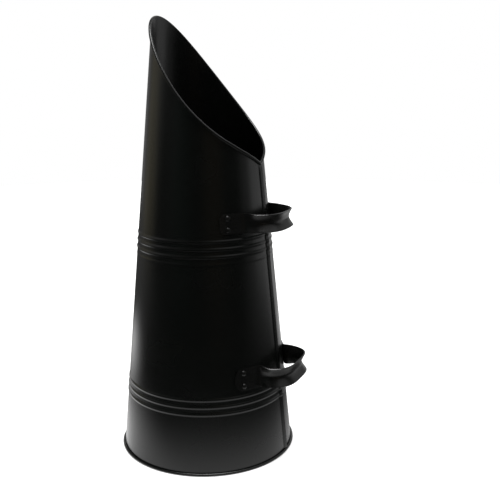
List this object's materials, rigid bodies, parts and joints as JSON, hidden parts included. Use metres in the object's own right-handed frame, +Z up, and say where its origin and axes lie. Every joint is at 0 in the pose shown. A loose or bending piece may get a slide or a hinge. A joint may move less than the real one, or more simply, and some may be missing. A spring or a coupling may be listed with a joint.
{
  "type": "coal scuttle",
  "caption": "Tall tapered coal scuttle of rolled black sheet steel with a slanted wired mouth, a raised bottom pan, bands of ribs and riveted strap handles on its seam side.",
  "frame": {"origin": "on the floor plane, at the middle of the outline seen from above, so the body's axis stands 8.9 mm behind it", "axes": "+Z up the scuttle; +X towards the lock seam, the low lip of the mouth and both handles; +Y to the right of someone facing the handles from outside"},
  "size_m": [0.2378, 0.22, 0.5291],
  "materials": {
    "black_paint": "satin black paint",
    "inner_paint": "dull black paint",
    "edge_wire": "drawn steel wire"
  },
  "bodies": {
    "root": {"body_shell": "black_paint", "base_pan": "inner_paint", "mouth_wire": "edge_wire", "foot_wire": "edge_wire", "upper_handle": "black_paint", "lower_handle": "black_paint", "upper_handle_rivet_1": "black_paint", "upper_handle_rivet_2": "black_paint", "upper_handle_rivet_3": "black_paint", "upper_handle_rivet_4": "black_paint", "lower_handle_rivet_1": "black_paint", "lower_handle_rivet_2": "black_paint", "lower_handle_rivet_3": "black_paint", "lower_handle_rivet_4": "black_paint"}
  },
  "joints": []
}
